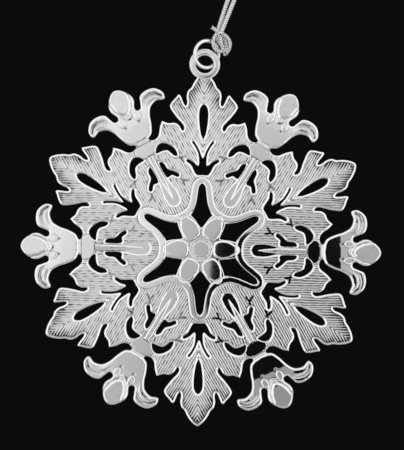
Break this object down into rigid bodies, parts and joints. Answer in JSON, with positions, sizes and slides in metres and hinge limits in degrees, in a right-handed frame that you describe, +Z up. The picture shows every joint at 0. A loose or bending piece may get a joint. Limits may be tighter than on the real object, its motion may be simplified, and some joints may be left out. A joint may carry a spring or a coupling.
{
  "type": "snowflake ornament",
  "caption": "Flat pierced snowflake ornament in silver-plated metal with raised leaf and flower scrollwork, hung by a jump ring and a knotted braided cord loop.",
  "frame": {"origin": "the point inside the top of the cord loop that a hook bears on", "axes": "+Z up along the hang of the ornament, +X to the viewer's right, the relief faces -Y"},
  "size_m": [0.0816, 0.0044, 0.1355],
  "materials": {
    "silver_plate": "polished silver plate over a cast base metal",
    "metallic_braid": "braided metallic yarn"
  },
  "bodies": {
    "cord": {"hanging_cord": "metallic_braid", "cord_knot": "metallic_braid"},
    "ring": {"jump_ring": "silver_plate"},
    "plate": {"snowflake": "silver_plate"}
  },
  "joints": [
    {"name": "ring_turn", "type": "hinge", "parent": "cord", "child": "ring", "pos_m": [0.0004, 0, -0.0503], "axis": [0.4623, -0.883, -0.0815], "range_deg": [-60, 0]},
    {"name": "plate_swivel", "type": "hinge", "parent": "ring", "child": "plate", "pos_m": [0, 0, -0.0526], "axis": [0, 0, 1], "range_deg": [-110, 0]}
  ]
}
